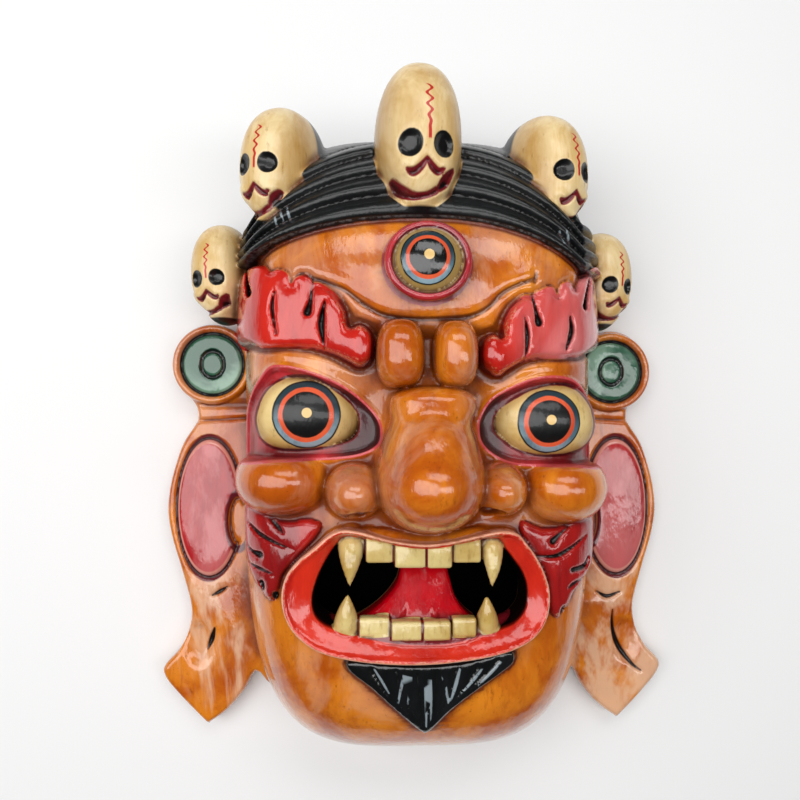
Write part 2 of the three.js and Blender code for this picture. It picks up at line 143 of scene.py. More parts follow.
BEARD_CUTS = [
    [[-19.5, -86, 0.5], [-14, -95, 0.5], [-6, -105, 0.2]],
    [[-10.4, -87, 0.6], [-8, -96, 0.5], [-3, -107, 0.2]],
    [[-2.6, -87.6, 0.6], [-1.4, -98, 0.5], [0, -110, 0.2]],
    [[4.6, -87.6, 0.6], [4.4, -98, 0.5], [2.6, -109, 0.2]],
    [[12, -87, 0.6], [10, -95, 0.5], [5.4, -105.5, 0.2]],
    [[20, -85.4, 0.6], [16.4, -91.6, 0.5], [10, -100, 0.2]],
    [[27.6, -83, 0.5], [23.6, -87.4, 0.4], [17, -94, 0.2]],
]
# Painted highlights, each a line of [x, y, half width]: along the beard's flutes, and as short strokes
# on the headband near its ends.
BEARD_LIGHTS = [
    [[-18.4, -86, 0.15], [-15.4, -91, 0.3], [-13, -95.5, 0.1]],
    [[-7.4, -87.6, 0.2], [-8.4, -93, 0.35], [-9.6, -99.5, 0.15]],
    [[-4.6, -88, 0.1], [-5.2, -94, 0.3], [-6, -100, 0.1]],
    [[0.4, -87.6, 0.25], [0.8, -98, 0.35], [1.2, -110, 0.1]],
    [[2.6, -90, 0.1], [2.8, -98, 0.25], [2.9, -107, 0.1]],
    [[6.6, -87.6, 0.2], [8, -93, 0.35], [9.4, -100, 0.15]],
    [[13.4, -86, 0.2], [12, -92, 0.45], [10.2, -98.6, 0.15]],
    [[21.6, -86.4, 0.2], [18.2, -91, 0.35], [14, -96, 0.1]],
    [[29, -83.4, 0.2], [25, -88, 0.3], [20, -93, 0.1]],
]
BAND_GLINTS = [
    [[-57, 85.5, 0.2], [-55.4, 80, 0.3]], [[-54.6, 87, 0.2], [-52.8, 80.6, 0.3]],
    [[-52, 88, 0.2], [-50.2, 81.5, 0.3]], [[52, 78, 0.2], [53.6, 73.5, 0.3]],
    [[54.8, 78.5, 0.2], [56.4, 73, 0.3]],
]

# Where the front teeth meet.
UPPER_GAPS = [-21.9, -11.4, 0.4, 10.05, 20.9]
LOWER_GAPS = [-24.3, -12.6, -1.05, 9.55, 19.1]

# Each fang, as [x, y, z, radius] from root to tip.
FANGS = [
    [[-27.0, -37, 68, 5.0], [-27.0, -41, 72.4, 4.9], [-27.2, -47, 75.4, 3.1], [-27.4, -53.4, 76.6, 0.5]],
    [[25.0, -38, 68, 4.3], [25.2, -42, 72.4, 4.2], [25.2, -48, 75, 2.7], [24.6, -54.2, 76.2, 0.5]],
    [[-28.9, -73, 69, 5.0], [-28.8, -69, 71.5, 4.8], [-28.6, -63.6, 73.6, 3.2], [-28.2, -58.2, 75, 0.8]],
    [[23.6, -73, 69, 4.6], [23.4, -69, 71.5, 4.4], [23.2, -64.4, 73.6, 3.0], [22.8, -59.2, 75, 0.8]],
]
UPPER_GUM = [[-33, -38, 62, 3.5], [-20, -38, 70, 4.5], [0, -40, 72, 4.5], [20, -38, 70, 4.5],
             [31, -38, 62, 3.5]]
LOWER_GUM = [[-36, -73, 60, 4], [-20, -74, 70, 5], [0, -75, 72, 5], [20, -74, 70, 5], [34, -72, 60, 4]]

# ---- rounded forms ----
# Lumps: centre [x, y], front z, half sizes, how boxy, how softly they join, and the y of a flat top.
ROUND_TOP = 99
LUMPS = [
    ([1.5, 8], 78.0, [17, 25, 24], 2.0, 6.0, ROUND_TOP),
    ([-9.1, 30.6], 90.6, [8.9, 12.7, 17], 2.7, 0.8, ROUND_TOP),
    ([11.2, 30.4], 90.2, [8.3, 12.5, 17], 2.7, 0.8, ROUND_TOP),
    ([3, 11.9], 89.6, [16.0, 6.8, 15], 2.6, 0.8, ROUND_TOP),
    ([2, -5.0], 98.0, [17.8, 17, 32], 2.3, 5.0, ROUND_TOP),
    ([2, -16.6], 106.0, [20.8, 18.8, 38], 2.1, 5.0, ROUND_TOP),
    ([-25.8, -20.0], 90.0, [11.4, 10.8, 26], 2.15, 1.6, ROUND_TOP),
    ([28.0, -19.6], 89.5, [11.0, 10.6, 26], 2.15, 1.6, ROUND_TOP),
    ([-52.6, -16.6], 81.0, [20.0, 15.0, 28], 2.1, 1.5, -7.6),
    ([53.6, -19.8], 80.0, [19.6, 15.4, 28], 2.1, 1.5, -10.2),
]
# Nostrils and eyeballs: centre [x, y], front z and half sizes.
NOSTRILS = [([-23.6, -28.4], 87, [4.4, 2.4, 9]), ([24.6, -27.4], 86.5, [4.8, 2.8, 10])]
EYES = [([-44.6, 8.6], 75.2, [23.5, 17.5, 20]), ([46.4, 6.4], 74.8, [23.5, 17.5, 20])]
# Irises: x, y and a share of the full size.
IRISES = [(-43.6, 8.3, 1.0), (46.8, 5.7, 0.94), (0.6, 64.6, 0.78)]
# The third eye: x, y, half width and front z, and its height for its width.
THIRD_EYE = (1.0, 64.0, 14.6, 86.0)
THIRD_SQUASH = 0.93

SKULLS = [
    {"at": [-2, 112, 63], "size": [16.4, 30, 22], "turn": 7, "lean": 0, "jaw": 0.12, "eye": -6.2},
    {"at": [-54.5, 105, 49], "size": [14.3, 25, 21], "turn": -28, "lean": -3, "jaw": 0.3, "eye": -2.4},
    {"at": [49.5, 103.5, 49], "size": [14.3, 25, 21], "turn": 28, "lean": 3, "jaw": 0.3, "eye": -2.4},
    {"at": [-83, 68, 26], "size": [12.3, 21.5, 16], "turn": -20, "lean": 2, "jaw": 0.3, "eye": -4.5},
    {"at": [79.5, 66, 26], "size": [12.3, 21.5, 16], "turn": 22, "lean": -2, "jaw": 0.3, "eye": -4.5},
]
# The skulls' faces, drawn on one of half width 17 and half height 30.
SKULL_CUTS = [
    [[0, -11.6, 0.5], [-2.4, -14.6, 1.1], [-5, -16.2, 1.2], [-7.4, -15.2, 0.3]],
    [[0, -11.6, 0.5], [2.2, -14.4, 1.1], [4.6, -15.8, 1.0], [6.8, -14.6, 0.3]],
    [[-12, -17.6, 0.4], [-8.6, -21.4, 1.3], [-4, -23.6, 1.0], [1, -23.2, 0.8], [4.4, -21.6, 1.0]],
    [[5.6, -20.8, 0.9], [8, -18, 1.7], [10.6, -14.6, 0.6]],
]

# Ears, the outline drawn for the right one: cushion and notch are ovals of x, y and half sizes.
EAR_TOP = 11
CUSHION = (92.8, -34, 13.8, 30.4)
NOTCH = (79.6, -40, 4.6, 11)
ROSETTES = ((-91.2, 30.6), (90.2, 27.6))
EAR_OUTLINE = [
    [60, 43.5], [78, 42], [82, 43.8], [90, 46.6], [98.5, 44.8], [105.4, 38.5], [108, 30.5],
    [106.4, 21.6], [101, 14.6], [98.4, 9.4], [99, 4.5], [104.4, -4], [107.5, -12], [110.6, -24],
    [111.6, -36], [109.6, -48], [105.4, -62], [101, -79], [102.4, -90], [106.4, -98],
    [112.4, -104.6], [112.9, -109], [108, -116], [94.4, -130.2], [92, -130.4], [84, -124.5],
    [77, -116.4], [72, -108], [60, -103],
]


# ---- distances in the plane ----

def smooth_line(points, closed=False, parts=5):
    """Points along a smooth line through the given ones."""
    p = np.array(points, float)
    count = len(p)
    turns = count if closed else count - 1
    out = []
    for i in range(turns):
        if closed:
            a, b, c, d = p[i - 1], p[i], p[(i + 1) % count], p[(i + 2) % count]
        else:
            a, b, c, d = p[max(i - 1, 0)], p[i], p[i + 1], p[min(i + 2, count - 1)]
        for t in np.arange(parts) / parts:
            out.append(0.5 * (2 * b + (c - a) * t + (2 * a - 5 * b + 4 * c - d) * t ** 2
                              + (3 * b - a - 3 * c + d) * t ** 3))
    if not closed:
        out.append(p[-1])
    return np.array(out, np.float32)


def region(points, x, y):
    """Signed distance to a closed smooth outline, negative inside."""
    p = smooth_line(points, closed=True)
    x, y = np.broadcast_arrays(x, y)
    best = np.full(x.shape, 1e9, np.float32)
    inside = np.zeros(x.shape, bool)
    for a, b in zip(p, np.roll(p, -1, axis=0)):
        ex, ey = b - a
        wx, wy = x - a[0], y - a[1]
        t = np.clip((wx * ex + wy * ey) / (ex * ex + ey * ey), 0, 1)
        best = np.minimum(best, (wx - ex * t) ** 2 + (wy - ey * t) ** 2)
        if ey != 0:
            crosses = (a[1] <= y) != (b[1] <= y)
            inside ^= crosses & (wx < ex * wy / ey)
    return np.where(inside, -1, 1) * np.sqrt(best)


def stroke(points, x, y):
    """Signed distance to a smooth line of changing half width."""
    p = smooth_line(points, parts=4)
    best = np.float32(1e9)
    for a, b in zip(p[:-1], p[1:]):
        ex, ey = b[0] - a[0], b[1] - a[1]
        wx, wy = x - a[0], y - a[1]
        t = np.clip((wx * ex + wy * ey) / max(ex * ex + ey * ey, 1e-9), 0, 1)
        gap = np.sqrt((wx - ex * t) ** 2 + (wy - ey * t) ** 2) - (a[2] + (b[2] - a[2]) * t)
        best = np.minimum(best, gap)
    return best


def strokes(lines, x, y):
    best = np.float32(1e9)
    for line in lines:
        best = np.minimum(best, stroke(line, x, y))
    return best


def oval(x, y, cx, cy, rx, ry):
    u, v = (x - cx) / rx, (y - cy) / ry
    k = np.sqrt(u * u + v * v)
    return k * (k - 1) / np.maximum(np.sqrt((u / rx) ** 2 + (v / ry) ** 2), 1e-6)


def step(value, low, high):
    t = np.clip((value - low) / (high - low), 0, 1)
    return t * t * (3 - 2 * t)


def pillow(distance, width):
    """0 outside an outline and 1 well inside it, rounded over like a carved edge."""
    t = np.clip(1 + distance / width, 0, 1)
    return np.sqrt(np.clip(1 - t * t, 0, 1)) * step(-distance, 0, 0.5)


def groove(distance, depth, soft=0.7):
    """How deep a cut of a given outline goes."""
    return depth * step(-distance, -soft, soft * 1.6)


def line_at(distance, place, width):
    """1 along a line that keeps a distance from an outline, fading to its sides."""
    return np.exp(-((distance - place) / width) ** 2)


# ---- distances in space ----

def smooth_min(a, b, k):
    h = np.maximum(k - np.abs(a - b), 0) / k
    return np.minimum(a, b) - h * h * k / 4


def smooth_max(a, b, k):
    return -smooth_min(-a, -b, k)


def lump(centre, front, size, boxiness, x, y, z):
    u, v, w = (x - centre[0]) / size[0], (y - centre[1]) / size[1], (z - front) / size[2] + 1
    n = boxiness
    k = (np.abs(u) ** n + np.abs(v) ** n + np.abs(w) ** n) ** (1 / n)
    slope = np.sqrt((u / size[0]) ** 2 + (v / size[1]) ** 2 + (w / size[2]) ** 2)
    return k * (k - 1) / np.maximum(slope, 1e-4)


def block(centre, half, radius, x, y, z):
    q = [np.abs(p - c) - (h - radius) for p, c, h in zip((x, y, z), centre, half)]
    outside = np.sqrt(sum(np.maximum(a, 0) ** 2 for a in q))
    return outside + np.minimum(np.maximum(np.maximum(q[0], q[1]), q[2]), 0) - radius


def spike(points, x, y, z):
    """A horn through [x, y, z, radius] points."""
    p = smooth_line(points, parts=3)
    best = np.float32(1e9)
    for a, b in zip(p[:-1], p[1:]):
        e = b[:3] - a[:3]
        w = (x - a[0], y - a[1], z - a[2])
        t = np.clip((w[0] * e[0] + w[1] * e[1] + w[2] * e[2]) / max(float(e @ e), 1e-9), 0, 1)
        gap = np.sqrt(sum((w[i] - e[i] * t) ** 2 for i in range(3))) - (a[3] + (b[3] - a[3]) * t)
        best = np.minimum(best, gap)
    return best


def reach(x, y, half_width, crown, chin):
    n = SQUARENESS
    return (np.abs(x / half_width) ** n + np.abs(y / np.where(y > 0, crown, chin)) ** n) ** (1 / n)


def dome(x, y, z, half_width, crown, chin, height):
    """Distance to a dome of this plan, worked out from how fast its rise changes."""
    e = 0.5
    here = reach(x, y, half_width, crown, chin) ** FLATNESS
    dx = (reach(x + e, y, half_width, crown, chin) ** FLATNESS - here) / e
    dy = (reach(x, y + e, half_width, crown, chin) ** FLATNESS - here) / e
    up = z / height ** 2
    h = np.sqrt(here + z * up)
    slope = np.sqrt((dx * dx + dy * dy) / 4 + up * up) / np.maximum(h, 1e-4)
    return np.clip((h - 1) / np.maximum(slope, 1e-4), -25, 80)


def skull_local(s, x, y, z):
    """A point in a skull's own axes, in millimetres."""
    turn, lean = math.radians(s["turn"]), math.radians(s["lean"])
    dx, dy, dz = x - s["at"][0], y - s["at"][1], z - s["at"][2]
    u0 = dx * math.cos(lean) + dy * math.sin(lean)
    v = dy * math.cos(lean) - dx * math.sin(lean)
    u = u0 * math.cos(turn) - dz * math.sin(turn)
    w = u0 * math.sin(turn) + dz * math.cos(turn)
    return u, v, w


def sockets(s, a, b):
    """Signed distance to a skull's two eye holes."""
    return np.minimum(oval(a, b, -6.2, s["eye"], 4.5, 5.0), oval(a, b, 6.4, s["eye"], 4.2, 4.8))


def skull(s, x, y, z):
    rx, ry, rz = s["size"]
    u, v, w = skull_local(s, x, y, z)
    jaw = 1 - s["jaw"] * step(-v / ry, 0.2, 1.0)
    head = lump([0, 0], rz, [rx, ry, rz], 2.25, u / jaw, v, w) * 0.94
    a, b = u * 17 / rx, v * 30 / ry
    front = step(w, 0, 4)
    head = head + front * 1.7 * step(-sockets(s, a, b), -0.4, 2.6)
    for side in (-1, 1):
        head = head - front * 0.8 * step(-oval(a, b, side * 9, -14.5, 4, 3.4), -1.5, 2)
    head = head + front * groove(strokes(SKULL_CUTS, a, b), 1.3, 0.6)
    return head


# ---- the whole plan, at any points of the face ----

def band_edge(x, level):
    """The lower edge of the headband's rolls: 0 is the lowest."""
    side = np.where(x < 0, 13.8, 23.0)
    power = np.where(x < 0, 2.1, 2.3)
    t = np.minimum(np.abs(x) / 70, np.where(x < 0, 1.0, 0.9))
    return 82 + 9.6 * level - side * t ** power - 5.2 * level * t ** 2


def plan(x, y):
    """Signed distances of the painted regions seen from the front."""
    p = {}
    p["band"] = (band_edge(x, 0) - y) * 0.93
    p["brow"] = np.minimum(region(BROWS[0], x, y), region(BROWS[1], x, y))
    p["ball"] = np.minimum(region(EYEBALLS[0], x, y), region(EYEBALLS[1], x, y))
    p["lid"] = np.minimum(region(LIDS[0], x, y), region(LIDS[1], x, y))
    p["lip_out"] = region(LIP_OUTER, x, y)
    p["lip_in"] = region(LIP_INNER, x, y)
    p["beard"] = region(BEARD, x, y)
    p["flames"] = np.minimum(region(FLAMES[0], x, y), region(FLAMES[1], x, y))
    p["brow_cut"] = strokes(BROW_CUTS, x, y)
    p["flame_cut"] = strokes(FLAME_CUTS, x, y)
    p["ear_cut"] = strokes(EAR_CUTS, x, y)
    p["beard_cut"] = strokes(BEARD_CUTS, x, y)
    p["glint"] = np.minimum(strokes(BAND_GLINTS, x, y), strokes(BEARD_LIGHTS, x, y))
    p["fold"] = strokes(FOLDS, x, y)
    p["third"] = oval(x, y, THIRD_EYE[0], THIRD_EYE[1], THIRD_EYE[2], THIRD_EYE[2] * THIRD_SQUASH)
    return p


def relief(p, x, y):
    """How far the carving stands out from the dome."""
    lift = 7.5 * np.clip(1 - ((x - 1) / 66) ** 2 - ((y - 62) / 25) ** 2, 0, 1) ** 0.7
    lift = lift + 3.5 * np.exp(-(((np.abs(x) - 34) / 22) ** 2) - (((y - 28) / 9) ** 2))
    lift = lift - 2.5 * np.exp(-(((np.abs(x) - 20) / 6) ** 2) - (((y - 14) / 10) ** 2))
    lift = lift + 3.0 * pillow(p["flames"], 3.5) - groove(p["flame_cut"], 2.2)

    # the headband: four rolls lapping downwards, tight at the temples
    level = 0 * x + 0 * y
    for i in range(4):
        low, high = band_edge(x, i), band_edge(x, i + 1)
        level = level + np.clip((y - low) / np.maximum(high - low, 1), 0, 1)
    share = level - np.floor(np.minimum(level, 3.999))
    roll = 2.6 + 2.8 * np.sin(math.pi * share ** 0.8)
    roll = np.where(y >= band_edge(x, 4), 3.2, roll)
    banded = step(-p["band"], -0.1, 0.9)
    lift = lift * (1 - banded) + banded * (roll + 1.0)
    lift = lift - 1.2 * line_at(p["band"], 0.9, 0.9)

    # the eyebrows: high at the inner curl, low at the temples
    height = 4.2 + 8.8 * step(-np.abs(x - 1), -52, -20)
    brow = height * (0.6 + 0.4 * pillow(p["brow"], 7.0)) * pillow(p["brow"], 2.4)
    brow = brow - groove(p["brow_cut"], 3.6)
    near = step(p["brow"], 3.4, 0.2) * step(p["brow"], 0.0, 0.8)
    lift = np.maximum(lift - 1.4 * near, np.where(p["brow"] < 0, brow, -9))

    # thin raised edges round the eye sockets, which sink towards the ball
    open_face = step(p["brow"], -0.5, 0.5)
    lift = lift + open_face * (1.3 * line_at(p["lid"], 0.0, 1.0) * step(-np.abs(x), -74, -66)
                               - 0.8 * step(-p["lid"], 0.5, 2.5))
    tip = pillow(p["beard"], 1.8)
    lift = lift + tip * 3.6 - groove(p["beard_cut"], 1.3)

    # the forehead hangs over a fold
    return lift - groove(p["fold"], 1.0, 0.6) + 0.4 * line_at(p["fold"], 2.4, 1.8) * step(y, 30, 42)


def lip_surface(p, x):
    """The lips: a rolled outer edge, then a slope down to the teeth."""
    span = np.maximum(p["lip_in"], 0) + np.maximum(-p["lip_out"], 0)
    share = np.clip(-p["lip_out"] / np.maximum(span, 1e-3), 0, 1)
    top = 80.6 - 0.0027 * (x + 3) ** 2
    return top + 1.2 * line_at(-p["lip_out"], 1.1, 0.9) - 4.4 * share ** 1.6


def ears(x, y, z):
    """The plates of both ears with their rosettes, cushions and cuts."""
    ax = np.abs(x)
    plate = region(EAR_OUTLINE, ax, y)
    edge = 1.5 * np.clip(1 + plate / 2.4, 0, 1) ** 2
    top = EAR_TOP - edge
    cushion = np.maximum(oval(ax, y, *CUSHION), -oval(ax, y, *NOTCH))
    top = top + 1.3 * pillow(cushion, 7) - 1.5 * line_at(cushion, 1.0, 0.8)
    leaf = oval(ax, y, 97, -95, 7, 11)
    top = top - 2.2 * step(-leaf, -1, 5) - groove(strokes(EAR_CUTS, x, y), 2.2)
    top = top - 1.2 * line_at(y + 0.06 * (ax - 90), 5.6, 0.7) - 0.8 * line_at(y, 12.4, 2.0)
    solid = smooth_max(plate, z - top, 1.0)
    cx = np.where(x < 0, -ROSETTES[0][0], ROSETTES[1][0])
    cy = np.where(x < 0, ROSETTES[0][1], ROSETTES[1][1])
    r = np.sqrt((ax - cx) ** 2 + (y - cy) ** 2)
    ring = np.sqrt(((ax - cx) / 5.0) ** 2 + ((y - cy) / 5.8) ** 2)
    face = 12.8 + 1.6 * np.exp(-((r - 16.2) / 1.4) ** 4)
    face = face - 1.8 * line_at(r, 13.9, 0.7) - 1.3 * line_at(ring * 5.4, 5.4, 0.6)
    button = smooth_max(r - 18, z - face, 1.4)
    return np.minimum(solid, button)


def teeth(x, y, z):
    best = np.float32(1e9)
    rows = (
        (UPPER_GAPS, (-41.4, -42.9, -43.0, -41.6), 4.3),
        (LOWER_GAPS, (-69.2, -69.9, -69.9, -69.2), 3.4),
    )
    for row, spots, half in rows:
        for a, b, cy in zip(row[:-1], row[1:], spots):
            cx = (a + b) / 2
            front = 79.4 - 0.010 * cx * cx
            tooth = block([cx, cy, front - 3], [(b - a) / 2 - 0.12, half, 3], 1.0, x, y, z)
            best = np.minimum(best, tooth)
    for fang in FANGS:
        best = np.minimum(best, spike(fang, x, y, z))
    return best


def gums(x, y, z):
    return np.minimum(spike(UPPER_GUM, x, y, z), spike(LOWER_GUM, x, y, z))


def tongue(x, y, z):
    share = np.clip((y + 70) / 30, 0, 1)
    half = 8.6 + 15 * (1 - share) ** 3.2
    middle = -3 + 3.4 * np.minimum(share * 2, 1)
    top = 74.5 - 12 * share - 0.014 * (x - middle) ** 2
    sides = (np.abs(x - middle) - half) * 0.9
    body = smooth_max(smooth_max(sides, z - top, 2.0), top - 13 - z, 2.0)
    return np.maximum(np.maximum(body, -74 - y), y + 38)


def hollow(x, y, z):
    inside = dome(x, y, z, HALF_WIDTH - WALL, CROWN - WALL, CHIN - WALL, HEIGHT - WALL)
    pocket = lump([0, -12], 86, [12.5, 12.5, 44], 2, x, y, z)
    return smooth_min(inside, pocket, 6)


def patch(f, x, y, z, low, high, change):
    """Works out a change on the part of a block that lies between two corners."""
    cuts = []
    for values, a, b in zip((x, y, z), low, high):
        hit = np.nonzero((values.ravel() >= a) & (values.ravel() <= b))[0]
        if not len(hit):
            return
        cuts.append(slice(hit[0], hit[-1] + 1))
    i, j, k = cuts
    f[i, j, k] = change(f[i, j, k], x[i], y[:, j], z[:, :, k])


def add_lump(f, x, y, z, centre, front, size, boxiness, soft, top):
    low = [centre[0] - size[0] - 9, centre[1] - size[1] - 9, 30]
    high = [centre[0] + size[0] + 9, centre[1] + size[1] + 9, front + 9]
    patch(f, x, y, z, low, high, lambda g, a, b, c: smooth_min(
        g, smooth_max(lump(centre, front, size, boxiness, a, b, c), b - top, 3.0), soft))


def add_eyes(f, x, y, z):
    """Sockets cut down to the eyeballs, which bulge out of them."""
    def eyes(g, a, b, c):
        spot = np.minimum(region(EYEBALLS[0], a, b), region(EYEBALLS[1], a, b))
        g = smooth_max(g, -np.maximum(spot, 52 - c), 0.6)
        for centre, front, size in EYES:
            ball = lump(centre, front, size, 2, a, b, c)
            g = np.minimum(g, np.maximum(ball, spot - 1.5))
        return g
    patch(f, x, y, z, [-70, -14, 50], [70, 30, 84], eyes)

    def third(g, a, b, c):
        far = np.sqrt((a - THIRD_EYE[0]) ** 2 + ((b - THIRD_EYE[1]) / THIRD_SQUASH) ** 2)
        rim = np.sqrt((far - 14.3) ** 2 + ((c - 80.8 + 0.1 * (b - 64)) / 1.4) ** 2) - 1.7
        g = smooth_min(g, rim, 1.6)
        return np.minimum(g, lump(THIRD_EYE[:2], THIRD_EYE[3], [13.8, 13.0, 9], 2, a, b, c))
    patch(f, x, y, z, [-22, 42, 66], [24, 86, 92], third)


def add_mouth(f, x, y, z):
    """Lips on the muzzle, the mouth cut through between them, and what is in it."""
    def mouth(g, a, b, c):
        spot = {"lip_out": region(LIP_OUTER, a, b), "lip_in": region(LIP_INNER, a, b)}
        lips = smooth_max(smooth_max(spot["lip_out"], c - lip_surface(spot, a), 1.2), 62 - c, 1.0)
        g = smooth_min(g, lips, 0.8)
        opening = spot["lip_in"] + np.clip(78 - c, 0, 40) * 0.06
        g = smooth_max(g, -np.maximum(opening, 36 - c), 0.8)
        inner = np.minimum(gums(a, b, c), tongue(a, b, c))
        return np.minimum(g, np.minimum(inner, teeth(a, b, c)))
    patch(f, x, y, z, [-62, -90, 30], [56, -26, 90], mouth)


def sculpt(x, y, z):
    """The whole mask's distance field over a block of points; x, y and z broadcast together."""
    p = plan(x, y)
    f = dome(x, y, z, HALF_WIDTH, CROWN, CHIN, HEIGHT) - relief(p, x, y)
    f = smooth_min(f, lump([-1, -57], 79.5, [54, 31, 40], 2.2, x, y, z), 5)
    for item in LUMPS:
        add_lump(f, x, y, z, *item)
    add_eyes(f, x, y, z)
    for centre, front, size in NOSTRILS:
        low = [centre[0] - 12, centre[1] - 12, 60]
        high = [centre[0] + 12, centre[1] + 12, 104]
        patch(f, x, y, z, low, high,
              lambda g, a, b, c: smooth_max(g, -lump(centre, front, size, 2, a, b, c), 1.5))
    patch(f, x, y, z, [-120, -140, -9], [120, 52, 24],
          lambda g, a, b, c: np.minimum(g, ears(a, b, c)))
    for s in SKULLS:
        low = [s["at"][i] - 36 for i in range(3)]
        high = [s["at"][i] + 36 for i in range(3)]
        patch(f, x, y, z, low, high,
              lambda g, a, b, c: smooth_min(g, skull(s, a, b, c), 1.4))
    rim = (reach(x, y, RIM_WIDTH, RIM_CROWN, RIM_CHIN) - 1) * 76
    f = smooth_min(f, smooth_max(rim, z - RIM_THICK, 1.5), 1.0)
    f = smooth_max(f, -hollow(x, y, z), 1.5)
    add_mouth(f, x, y, z)
    return smooth_max(f, -z, 0.8)


# ---- from the distance field to a mesh ----

def field():
    xs = np.arange(-115.2, 115.6, STEP, dtype=np.float32)
    ys = np.arange(-144, 144.6, STEP, dtype=np.float32)
    zs = np.arange(-1.6, 108.4, STEP, dtype=np.float32)
    f = np.empty((len(xs), len(ys), len(zs)), np.float32)
    for i in range(0, len(xs), 24):
        part = slice(i, min(i + 24, len(xs)))
        f[part] = sculpt(xs[part, None, None], ys[None, :, None], zs[None, None, :])
    return f, (xs, ys, zs)


def surface(f, axes):
    """Surface nets: one vertex in each cell that the surface crosses."""
    inside = f < 0
    shape = tuple(n - 1 for n in f.shape)
    count = np.zeros(shape, np.uint8)
    corners = [(a, b, c) for a in (0, 1) for b in (0, 1) for c in (0, 1)]
    for a, b, c in corners:
        count += inside[a:a + shape[0], b:b + shape[1], c:c + shape[2]]
    cells = np.argwhere((count > 0) & (count < 8))
    index = np.full(shape, -1, np.int32)
    index[tuple(cells.T)] = np.arange(len(cells))
    total = np.zeros((len(cells), 3), np.float64)
    hits = np.zeros(len(cells))
    for corner in corners:
        for axis in range(3):
            if corner[axis]:
                continue
            other = list(corner)
            other[axis] = 1
            a = f[tuple((cells + corner).T)].astype(np.float64)
            b = f[tuple((cells + other).T)].astype(np.float64)
            crossing = (a < 0) != (b < 0)
            t = np.where(crossing, a / np.where(crossing, a - b, 1), 0)
            spot = np.array(corner, float) + np.eye(3)[axis] * t[:, None]
            total += spot * crossing[:, None]
            hits += crossing
    points = cells + total / hits[:, None]
    faces = []
    for axis in range(3):
        u, v = (axis + 1) % 3, (axis + 2) % 3
        low = [slice(None)] * 3
        high = [slice(None)] * 3
        low[axis], high[axis] = slice(0, -1), slice(1, None)
        change = inside[tuple(low)] != inside[tuple(high)]
        at = np.argwhere(change)
        at = at[(at[:, u] > 0) & (at[:, v] > 0) & (at[:, u] < shape[u]) & (at[:, v] < shape[v])]
        du, dv = np.eye(3, dtype=int)[u], np.eye(3, dtype=int)[v]
        quad = np.stack([index[tuple((at - du - dv).T)], index[tuple((at - dv).T)],
                         index[tuple(at.T)], index[tuple((at - du).T)]], axis=1)
        outward = inside[tuple(at.T)]
        quad[~outward] = quad[~outward][:, ::-1]
        faces.append(quad)
    origin = np.array([a[0] for a in axes])
    return points * STEP + origin, np.concatenate(faces)


def make_mesh(name, points, quads):
    mesh = bpy.data.meshes.new(name)
    mesh.vertices.add(len(points))
    mesh.vertices.foreach_set("co", (points * 0.001).astype(np.float32).ravel())
    mesh.loops.add(quads.size)
    mesh.loops.foreach_set("vertex_index", quads.astype(np.int32).ravel())
    mesh.polygons.add(len(quads))
    mesh.polygons.foreach_set("loop_start", np.arange(0, quads.size, 4, dtype=np.int32))
    mesh.update(calc_edges=True)
    mesh.validate()
    return mesh


def thinned(mesh, name):
    """The same mesh with flat places made of fewer, larger triangles."""
    rough = bpy.data.objects.new("rough", mesh)
    bpy.context.scene.collection.objects.link(rough)
    modifier = rough.modifiers.new("thin", "DECIMATE")
    modifier.ratio = min(1.0, TRIANGLES / (2 * len(mesh.polygons)))
    modifier.use_collapse_triangulate = True
    bpy.context.view_layer.update()
    made = bpy.data.meshes.new_from_object(rough.evaluated_get(bpy.context.evaluated_depsgraph_get()))
    bpy.data.objects.remove(rough)
    bpy.data.meshes.remove(mesh)
    made.name = name
    return made


def blurred(f, radius):
    """The field averaged over a box, which tells hollows from ridges."""
    for axis in range(3):
        f = np.moveaxis(f, axis, 0)
        total = np.cumsum(f, axis=0, dtype=np.float64)
        made = f.copy()
        made[radius + 1:-radius] = (total[2 * radius + 1:] - total[:-2 * radius - 1]) / (2 * radius + 1)
        f = np.moveaxis(made, 0, axis)
    return f


def sampled(f, axes, points):
    """A field's values at points, interpolated."""
    at = (points - np.array([a[0] for a in axes])) / STEP
    base = np.clip(np.floor(at).astype(int), 0, np.array(f.shape) - 2)
    t = at - base
    out = 0
    for a in (0, 1):
        for b in (0, 1):
            for c in (0, 1):
                weight = ((t[:, 0] if a else 1 - t[:, 0]) * (t[:, 1] if b else 1 - t[:, 1])
                          * (t[:, 2] if c else 1 - t[:, 2]))
                out = out + weight * f[base[:, 0] + a, base[:, 1] + b, base[:, 2] + c]
    return out


# ---- what the paint needs to know at each vertex ----

